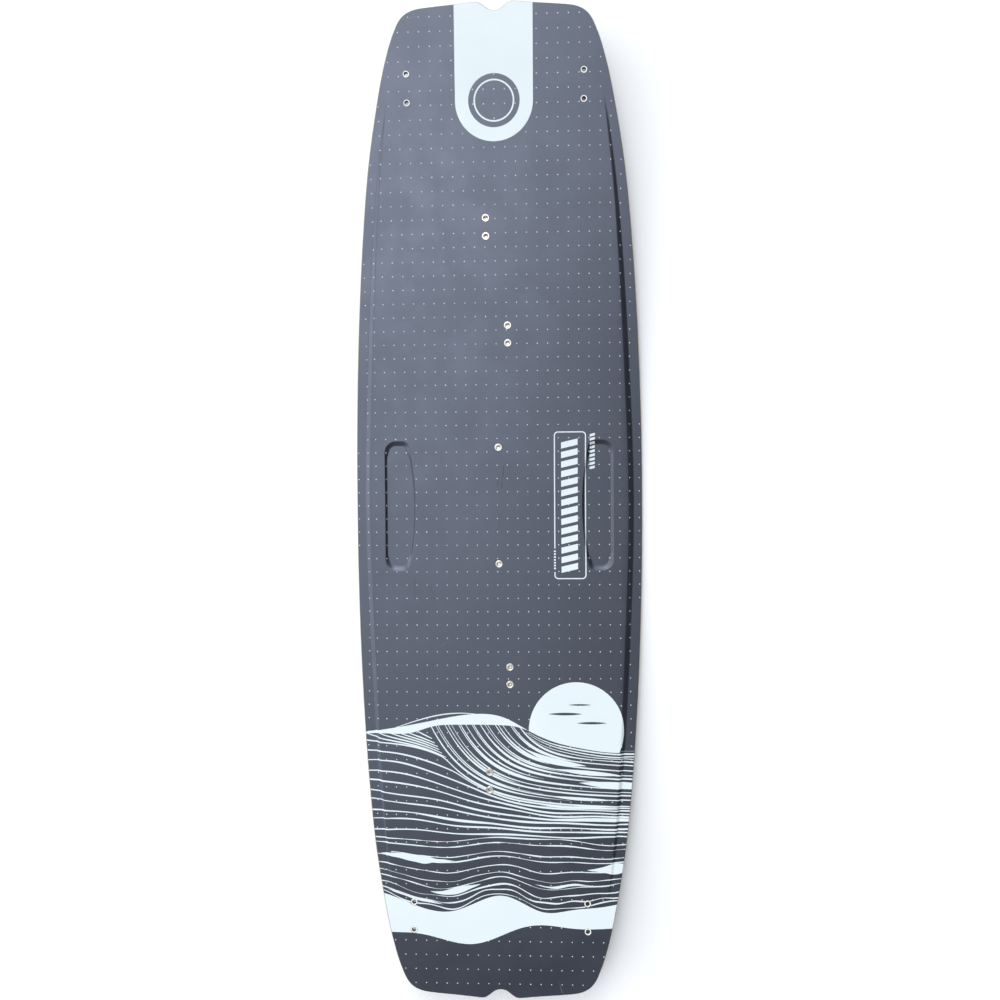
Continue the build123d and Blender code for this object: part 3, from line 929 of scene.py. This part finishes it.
def dense(poly, step=6.0):
    out = []
    for a, b in zip(poly, np.roll(poly, -1, 0)):
        k = max(1, int(math.hypot(*(b - a)) / step))
        out += [a + (b - a) * j / k for j in range(k)]
    return np.array(out)


def on_deck(poly):
    return print_to_board(poly)


TAB_R, TAB_S = 54.5, -567.5
_a = np.linspace(0, math.pi, 49)
TAB = np.concatenate([np.column_stack([TAB_R * np.cos(_a), TAB_S + TAB_R * np.sin(_a)]),
                      [(-TAB_R, -712.0), (TAB_R, -712.0)]])
DISC = circle(0, -567.8, 36.0, 72)
RINGS = [circle(0, -567.8, 28.6, 64), circle(0, -567.8, 26.4, 60)]
FRAME_OUT = rounded_box(82.6, 129.2, -106.4, 108.4, 5.6)
FRAME_IN = rounded_box(84.2, 127.6, -104.8, 106.8, 4.2)
BARS = []
for k in range(14):
    s0 = -96.0 + k * 13.9
    BARS.append(np.array([(93.0, s0 + 5.5), (117.0, s0), (117.0, s0 + 9.0), (93.0, s0 + 14.5)]))
for k in range(9):
    s0 = -104.0 + k * 5.9
    BARS.append(np.array([(134.5, s0 + 1.8), (142.0, s0), (142.0, s0 + 3.6), (134.5, s0 + 5.4)]))
for k in range(7):
    s0 = 66.5 + k * 4.15
    BARS.append(np.array([(82.0, s0), (84.8, s0), (84.8, s0 + 2.4), (82.0, s0 + 2.4)]))
FRAME_GAP = np.array([(81.6, 63.5), (85.2, 63.5), (85.2, 98.0), (81.6, 98.0)])
SUN = (113.0, 326.5, 69.0)
SUN_LOOP = circle(*SUN, 120)


def streak(cx, cs, half, thick):
    a = np.linspace(-1, 1, 25)
    up = np.column_stack([cx + half * a, cs - thick * (1 - a**2)])
    down = np.column_stack([cx + half * a[::-1], cs + thick * (1 - a[::-1] ** 2)])
    return np.concatenate([up[:-1], down[:-1]])


STREAKS = [streak(97, 303, 25, 1.9), streak(135, 316, 22, 1.7), streak(118, 290, 17, 1.2)]
DOT_R, DOT_X, DOT_S = 0.85, 14.83, 19.43


def paint_white(x, s):
    """True where the print is white."""
    p = np.column_stack([x, s])
    white = (np.abs(x) < TAB_R) & ((s < TAB_S) | (np.hypot(x, s - TAB_S) < TAB_R))
    disc = inside_polygon(p, DISC)
    ring = inside_polygon(p, RINGS[0]) & ~inside_polygon(p, RINGS[1])
    white = (white & ~disc) | ring
    box = (x > 80) & (x < 145) & (np.abs(s) < 112)
    if box.any():
        q = p[box]
        w = inside_polygon(q, FRAME_OUT) & ~inside_polygon(q, FRAME_IN) & ~inside_polygon(q, FRAME_GAP)
        for bar in BARS:
            w |= inside_polygon(q, bar)
        white[box] |= w
    near = (x > 40) & (x < 186) & (s > 255) & (s < 400)
    if near.any():
        q = p[near]
        w = inside_polygon(q, SUN_LOOP) & (q[:, 1] < np.interp(q[:, 0], SEA_X, SEA_S))
        for st in STREAKS:
            w &= ~inside_polygon(q, st)
        white[near] |= w
    return white | in_strokes(x, s)


def dot_places():
    ks = np.arange(-14, 15)
    js = np.arange(-35, 36)
    x, s = [v.ravel() for v in np.meshgrid(ks * DOT_X, js * DOT_S)]
    p = print_to_board(np.column_stack([x, s]))
    ok = inside_polygon(p, moved(OUTLINE, -3.0))
    covered = np.ones(len(x), bool)
    for dx, ds in ((0, 0), (0.8, 0), (-0.8, 0), (0, 0.8), (0, -0.8)):
        covered &= paint_white(x + dx, s + ds)
    ok &= ~covered
    for hx, hy, r in HOLES:
        ok &= np.hypot(p[:, 0] - hx, p[:, 1] - hy) > r + 1.6
    return p[ok], {(int(round(a / DOT_X)), int(round(b / DOT_S))) for a, b in zip(x[ok], s[ok])}


DOTS, LATTICE = dot_places()


# ------------------------------------------------------------ the deck sheet
def step_lines(sheet, fine=True):
    for side in (1, -1):
        for off in (1.4, 0.7, 0.0, -0.7, -1.4) if fine else (0.0,):
            ys = np.arange(-600, 600.1, 5.0 if fine else 12.0)
            sheet.line(np.column_stack([side * (step_foot(ys) + off), ys]))
        for off in (1.6, 0.8, 0.0, -0.8, -1.6) if fine else (0.0,):
            ys = np.arange(-465, 465.1, 5.0 if fine else 12.0)
            top = step_foot(ys) - STEP_RUN * step_height(ys)
            sheet.line(np.column_stack([side * (top + off), ys]))
        for end in (1, -1) if fine else ():
            for off in (-0.9, -2.2, -4.5):
                ys = end * np.arange(469.0, 557.0, 4.0)
                top = step_foot(ys) - STEP_RUN * step_height(ys)
                sheet.line(np.column_stack([side * (top + off), ys]))


def recess_lines(sheet, offsets):
    for side in (1, -1):
        for off in offsets:
            loop = moved(RECESS, -off)
            sheet.line(loop * [side, 1], closed=True)


def hole_lines(sheet, grow, only=None, n=40):
    for x, y, r in HOLES:
        if only is None or r in only:
            sheet.line(circle(x, y, r + grow, n), closed=True)


def clear_of_holes(p, grow, only=None):
    ok = np.ones(len(p), bool)
    for x, y, r in HOLES:
        if only is None or r in only:
            ok &= np.hypot(p[:, 0] - x, p[:, 1] - y) > (r + grow) * 0.9985
    return ok


ROUND = 0.32
deck = Sheet()
RIM = moved(OUTLINE, -(SKIN_INSET + ROUND))
deck.line(RIM, closed=True)
hole_lines(deck, GAP + ROUND)
for poly in [TAB, DISC, *RINGS, FRAME_OUT, FRAME_IN, FRAME_GAP, *BARS, SUN_LOOP, *STREAKS]:
    deck.line(on_deck(dense(poly, 7.0)), closed=True)
deck.line(on_deck(np.column_stack([SEA_X, SEA_S])))
for xs, up, down in STROKES:
    loop = np.concatenate([np.column_stack([xs, up]), np.column_stack([xs, down])[::-1]])
    deck.line(on_deck(loop), closed=True)
for x, y in DOTS:
    deck.line(circle(x, y, DOT_R, 8), closed=True)
step_lines(deck)
recess_lines(deck, (-0.7, -0.1, 0.5, 1.2, 2.0, 2.8, 3.5, 4.6, 5.8, 7.0))
deck.fill(moved(OUTLINE, -4.0), 7.0, 2.4)


def deck_paint(mid):
    x, s = board_to_print(mid)
    ids = np.where(paint_white(x, s), 1, 0)
    k, j = np.round(x / DOT_X).astype(int), np.round(s / DOT_S).astype(int)
    centre = print_to_board(np.column_stack([k * DOT_X, j * DOT_S]))
    near = (np.hypot(*(mid - centre).T) < DOT_R * 0.96) & (ids == 0)
    for i in np.nonzero(near)[0]:
        if (int(k[i]), int(j[i])) in LATTICE:
            ids[i] = 2
    return ids


def deck_form(sheet):
    """The lines that the deck's shape turns on, for the sheets under it."""
    step_lines(sheet)
    recess_lines(sheet, (-0.7, -0.1, 0.5, 1.2, 2.0, 2.8, 3.5, 4.6, 5.8, 7.0))


def keep_deck(p):
    return inside_polygon(p, RIM) & clear_of_holes(p, GAP + ROUND)


topsheet = slab("topsheet_printed", deck, keep_deck, deck_z, deck_under(SHEET), ROUND, 0.0,
                [DARK, WHITE, DOT], deck_paint, low_lines=deck_form, exact=True)
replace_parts(topsheet, "topsheet")


# ------------------------------------------------------------ laminates, base, rails
def plain_layer(name, node, inset, top, low, rt, rl, mat, holes, deck_side):
    sheet = Sheet()
    rim = moved(OUTLINE, -(inset + rt))
    sheet.line(rim, closed=True)
    hole_lines(sheet, GAP + rt, holes, 32)
    if deck_side:
        deck_form(sheet)
    sheet.fill(moved(OUTLINE, -8.0), 16.0, 5.0)
    obj = slab(name, sheet, lambda p: inside_polygon(p, rim) & clear_of_holes(p, GAP + rt, holes),
               top, low, rt, rl, [mat], low_pitch=16.0, low_lines=deck_form if deck_side else None)
    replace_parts(obj, node)
    return obj


both, fins = (FIN_BUSH_R, INSERT_R), (FIN_BUSH_R,)
plain_layer("glass_deck_outer", "deck_laminate_outer", SKIN_INSET - 0.05, deck_under(SHEET), deck_under(SHEET + PLY),
            0.06, 0.0, GLASS, both, True)
plain_layer("glass_deck_inner", "deck_laminate_inner", SKIN_INSET - 0.35, deck_under(SHEET + PLY), deck_under(SKIN),
            0.06, 0.0, GLASS, both, True)
plain_layer("glass_base_inner", "base_laminate_inner", 0.06, base_over(SKIN), base_over(SHEET + PLY),
            0.06, 0.0, GLASS, fins, False)
plain_layer("glass_base_outer", "base_laminate_outer", 0.12, base_over(SHEET + PLY), base_over(SHEET),
            0.06, 0.0, GLASS, fins, False)


def base_sheet():
    sheet = Sheet()
    rim = moved(OUTLINE, -0.05)
    sheet.line(rim, closed=True)
    hole_lines(sheet, GAP, fins, 32)
    sheet.fill(moved(OUTLINE, -6.0), 14.0, 4.0)
    obj = slab("base_running_sheet", sheet, lambda p: inside_polygon(p, rim) & clear_of_holes(p, GAP, fins),
               base_over(SHEET), base_over(0.0), 0.0, 0.35, [BASE], low_pitch=12.0)
    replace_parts(obj, "base_sheet")


base_sheet()

INNER = spline([(x - RAIL_WIDTH, y) for x, y in SIDE] + [(133.5, 654.9)], (0, 1), (-0.36, 1), 6.0)
CORE_TOP = float(INNER[-1][1])


def rail_region(side):
    o = OUTLINE[(OUTLINE[:, 0] > 0) & (np.abs(OUTLINE[:, 1]) < CORE_TOP - 1.0)]
    o = o[np.argsort(o[:, 1])]
    cut = []
    for y in (-CORE_TOP, CORE_TOP):
        near = OUTLINE[OUTLINE[:, 0] > 0]
        near = near[np.argsort(near[:, 1])]
        near = near[np.abs(near[:, 1]) < 675]
        cut.append((np.interp(y, near[:, 1], near[:, 0]), y))
    inner = np.concatenate([INNER[::-1], (INNER * [1, -1])[1:]])
    loop = np.concatenate([[cut[0]], o, [cut[1]], inner])
    if side < 0:
        loop = (loop * [-1, 1])[::-1]
    return loop


def tip_region(side):
    o = OUTLINE[OUTLINE[:, 1] > CORE_TOP + 1.0]
    o = o[np.argsort(np.arctan2(o[:, 1], o[:, 0]))]
    near = OUTLINE[(OUTLINE[:, 0] > 0) & (np.abs(OUTLINE[:, 1]) < 675)]
    near = near[np.argsort(near[:, 1])]
    x = float(np.interp(CORE_TOP, near[:, 1], near[:, 0]))
    low = np.column_stack([np.linspace(-x, x, 30), np.full(30, CORE_TOP)])
    loop = np.concatenate([o, low])
    if side < 0:
        loop = (loop * [1, -1])[::-1]
    return loop


def rail(name, node, region):
    rt = 0.55
    rim = moved(region, -rt)
    sheet = Sheet()
    sheet.line(rim, closed=True)
    sheet.fill(moved(region, -2.5), 9.0, 2.6)
    obj = slab(name, sheet, lambda p: inside_polygon(p, rim), deck_under(SKIN), base_over(SKIN), rt, 0.15,
               [RAIL], low_pitch=12.0)
    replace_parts(obj, node)


rail("side_rail_right", "rail_right", rail_region(1))
rail("side_rail_left", "rail_left", rail_region(-1))
rail("tip_piece_front", "tip_spacer_front", tip_region(1))
rail("tip_piece_rear", "tip_spacer_rear", tip_region(-1))


# ------------------------------------------------------------ bushes and inserts
def lathe(x0, y0, profile, n=48):
    """Closed turned shape. profile holds (radius, height law); radius 0 closes an end."""
    verts, faces, rows = [], [], []
    a = np.linspace(0, 2 * math.pi, n, endpoint=False)
    for radius, law in profile:
        if np.isscalar(radius) and radius == 0:
            rows.append([len(verts)])
            verts.append((x0, y0, float(law(np.array([x0]), np.array([y0]), np.array([0.0]))[0])))
            continue
        r = radius(a) if callable(radius) else radius + 0 * a
        x, y = x0 + r * np.cos(a), y0 + r * np.sin(a)
        z = law(x, y, a)
        rows.append(list(range(len(verts), len(verts) + n)))
        verts += list(zip(x, y, z))
    return verts, rows


def skin_rows(rows, faces, closed):
    pairs = list(zip(rows, rows[1:])) + ([(rows[-1], rows[0])] if closed else [])
    for a, b in pairs:
        n = max(len(a), len(b))
        for k in range(n):
            k2 = (k + 1) % n
            if len(a) == 1:
                faces.append((a[0], b[k], b[k2]))
            elif len(b) == 1:
                faces.append((a[k], b[0], a[k2]))
            else:
                faces.append((a[k], b[k], b[k2], a[k2]))


def on_top(d):
    return lambda x, y, a: deck_z(x, y) + d


def on_base(d):
    return lambda x, y, a: base_z(x, y) + d


def at_height(z):
    return lambda x, y, a: z + 0 * x


def bush(name, spots):
    verts, faces, ids = [], [], []
    for x0, y0 in spots:
        profile = [(FIN_HOLE_R, on_base(0.5)), (FIN_HOLE_R, on_top(-0.62)), (FIN_HOLE_R + 0.10, on_top(-0.34)),
                   (FIN_HOLE_R + 0.34, on_top(-0.10)), (FIN_HOLE_R + 0.62, on_top(0.0)),
                   (FIN_BUSH_R - 0.40, on_top(0.0)), (FIN_BUSH_R - 0.12, on_top(-0.07)), (FIN_BUSH_R, on_top(-0.28)),
                   (FIN_BUSH_R, on_base(0.18)), (FIN_BUSH_R - 0.15, on_base(0.0)), (FIN_HOLE_R + 0.5, on_base(0.0)),
                   (FIN_HOLE_R + 0.12, on_base(0.18))]
        v, rows = lathe(x0, y0, profile)
        f = []
        skin_rows(rows, f, True)
        # the first 96 faces, the bore wall and the start of its rim, take slot 1: painted shade for the inside of the
        # hole
        ids += [1 if k < 96 else 0 for k in range(len(f))]
        base = len(verts)
        verts += v
        faces += [tuple(i + base for i in q) for q in f]
    obj = new_object(name, verts, faces, [BUSH, BORE_PAINTED_SHADE], ids, angle=50)
    return obj


def insert(name, spots):
    verts, faces = [], []
    pitch, turns = 1.0, 4
    for x0, y0 in spots:
        z0 = float(deck_z(np.array([x0]), np.array([y0]))[0])
        core = INSERT_R - 0.45
        profile = [(0, at_height(z0 - INSERT_LENGTH)), (core - 0.35, at_height(z0 - INSERT_LENGTH)),
                   (core, at_height(z0 - INSERT_LENGTH + 0.35))]
        for k in range(4):
            profile += [(core, at_height(z0 - 5.4 + k * 1.05)), (INSERT_R, at_height(z0 - 5.15 + k * 1.05)),
                        (INSERT_R, at_height(z0 - 4.85 + k * 1.05)), (core, at_height(z0 - 4.6 + k * 1.05))]
        profile += [(INSERT_R, at_height(z0 - 1.2)), (INSERT_R, on_top(-0.30)), (INSERT_R - 0.10, on_top(-0.10)),
                    (INSERT_R - 0.30, on_top(-0.02)), (INSERT_R - 0.62, on_top(0.0)),
                    (4.22, on_top(0.0)), (4.10, on_top(-0.08)), (3.78, on_top(-0.08)), (3.66, on_top(0.0)),
                    (3.42, on_top(-0.02)), (3.20, on_top(-0.16)), (2.96, at_height(z0 - 0.62)),
                    (2.84, at_height(z0 - 0.80))]
        rows_per = 8
        for k in range(rows_per * turns + 1):
            z = 0.85 + pitch * k / rows_per

            def radius(a, z=z):
                t = (z / pitch + a / (2 * math.pi)) % 1.0
                return 2.5 + 0.44 * np.abs(2 * t - 1)

            profile.append((radius, at_height(z0 - z)))
        profile += [(2.42, at_height(z0 - 5.2)), (0, at_height(z0 - 5.55))]
        v, rows = lathe(x0, y0, profile)
        f = []
        skin_rows(rows, f, False)
        base = len(verts)
        verts += v
        faces += [tuple(i + base for i in q) for q in f]
    obj = new_object(name, verts, faces, [STEEL], angle=40)
    return obj


for name, spots in FIN_SPOTS.items():
    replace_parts(bush("ring_" + name, spots), name)
for name, spots in INSERT_SPOTS.items():
    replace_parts(insert("turned_" + name, spots), name)

# ------------------------------------------------------------ hidden CAD pieces
for name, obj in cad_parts.items():
    look = WOOD if name.startswith("core_stave") else BLOCK if "block" in name else None
    if look is not None:
        for k in range(max(1, len(obj.material_slots))):
            if len(obj.material_slots):
                obj.material_slots[k].material = look
            else:
                obj.data.materials.append(look)

# ------------------------------------------------------------ floor, light, camera
floor_mesh = bpy.data.meshes.new("floor")
floor_mesh.from_pydata([(-60, -60, 0), (60, -60, 0), (60, 60, 0), (-60, 60, 0)], [], [(0, 1, 2, 3)])
floor = bpy.data.objects.new("floor", floor_mesh)
bpy.context.scene.collection.objects.link(floor)
fn = Nodes("pale_floor")
floor_mesh.materials.append(fn.set(
    color=fn.mix(fn.ramp(fn.noise(900, 3), 0.3, 0.7), (0.88, 0.885, 0.89), (0.90, 0.905, 0.91)),
    rough=fn.ramp(fn.noise(300, 3), 0.3, 0.7, 0.7, 0.85)))

scene = bpy.context.scene
scene.view_settings.view_transform = "Standard"
scene.view_settings.look = "None"
scene.view_settings.exposure = 0.0
scene.view_settings.gamma = 1.0

world = bpy.data.worlds.new("studio")
scene.world = world
world.use_nodes = True
wt = world.node_tree
back = wt.nodes["Background"]
way = wt.nodes.new("ShaderNodeTexCoord").outputs["Generated"]


def sky_math(op, a, b=None):
    node = wt.nodes.new("ShaderNodeMath")
    node.operation = op
    for k, v in enumerate((a, b)):
        if isinstance(v, (int, float)):
            node.inputs[k].default_value = v
        elif v is not None:
            wt.links.new(v, node.inputs[k])
    return node.outputs[0]


def towards(x, y, z):
    node = wt.nodes.new("ShaderNodeVectorMath")
    node.operation = "DOT_PRODUCT"
    node.inputs[1].default_value = (x, y, z)
    wt.links.new(way, node.inputs[0])
    return node.outputs["Value"]


def lamp(way_to, strength, tight):
    off = sky_math("SUBTRACT", 1.0, towards(*way_to))
    return sky_math("MULTIPLY", strength, sky_math("EXPONENT", sky_math("MULTIPLY", off, -tight)))


# a broad overhead panel towards the front left, a low one on the left, one beyond the front tip
high = sky_math("SUBTRACT", 1.0, towards(-0.172, 0.260, 0.950))
fade = sky_math("MULTIPLY", sky_math("SUBTRACT", towards(0, 1, 0), 0.27), 4.5)
fade = sky_math("SUBTRACT", 1.0, sky_math("MINIMUM", sky_math("MAXIMUM", fade, 0.0), 0.42))
high = sky_math("DIVIDE", sky_math("MULTIPLY", fade, 11.2), sky_math("ADD", 1.0, sky_math("EXPONENT", sky_math("MULTIPLY", high, 28.0))))
low = sky_math("ADD", lamp((-0.92, 0.15, 0.362), 4.0, 10.0), lamp((-0.12, 0.78, 0.614), 8.5, 30.0))
rest = sky_math("ADD", 0.39, sky_math("ADD", sky_math("MULTIPLY", towards(1, 0, 0), -0.42),
                                      sky_math("MULTIPLY", towards(0, 1, 0), 0.07)))
rest = sky_math("MINIMUM", sky_math("MAXIMUM", rest, 0.10), 0.9)
ahead = sky_math("MAXIMUM", sky_math("SUBTRACT", towards(0, 1, 0), 0.3), 0.0)
rest = sky_math("ADD", rest, sky_math("MULTIPLY", ahead, 0.9))
# everything dies away towards the horizon, so that edge-on views stay calm
rise = sky_math("DIVIDE", sky_math("SUBTRACT", towards(0, 0, 1), 0.07), 0.18)
rise = sky_math("MINIMUM", sky_math("MAXIMUM", rise, 0.0), 1.0)
low = sky_math("MULTIPLY", low, rise)
rest = sky_math("MULTIPLY", rest, sky_math("ADD", 0.35, sky_math("MULTIPLY", rise, 0.65)))
whole = sky_math("MULTIPLY", sky_math("ADD", rest, sky_math("ADD", high, low)), 0.86)
wt.links.new(whole, back.inputs["Strength"])
back.inputs["Color"].default_value = (0.94, 0.965, 1.0, 1.0)
# the backdrop itself is plain and pale
backdrop = wt.nodes.new("ShaderNodeBackground")
backdrop.inputs["Color"].default_value = (1.0, 1.0, 1.0, 1.0)
backdrop.inputs["Strength"].default_value = 1.0
seen = wt.nodes.new("ShaderNodeMixShader")
wt.links.new(wt.nodes.new("ShaderNodeLightPath").outputs["Is Camera Ray"], seen.inputs[0])
wt.links.new(back.outputs[0], seen.inputs[1])
wt.links.new(backdrop.outputs[0], seen.inputs[2])
wt.links.new(seen.outputs[0], wt.nodes["World Output"].inputs["Surface"])

# A camera straight above the deck, 1.05 m away, turned by a degree or two.
RX, RY, RZ = 0.020494, -0.035019, 0.005631 + PRINT_TURN
view = (Matrix.Rotation(RZ, 3, "Z") @ Matrix.Rotation(RY, 3, "Y") @ Matrix.Rotation(RX, 3, "X")).transposed()
cam_data = bpy.data.cameras.new("camera")
cam_data.sensor_fit = "HORIZONTAL"
cam_data.sensor_width = 36.0
cam_data.lens = 25.92
cam_data.clip_start, cam_data.clip_end = 0.02, 50.0
cam = bpy.data.objects.new("camera", cam_data)
centre_z = float(deck_z(np.array([0.0]), np.array([0.0]))[0])
cam.matrix_world = Matrix.Translation(Vector((40.657 + PRINT_X, 28.987 + PRINT_Y, 1049.161 + centre_z)) * MM) @ view.to_4x4()
scene.collection.objects.link(cam)
scene.camera = cam
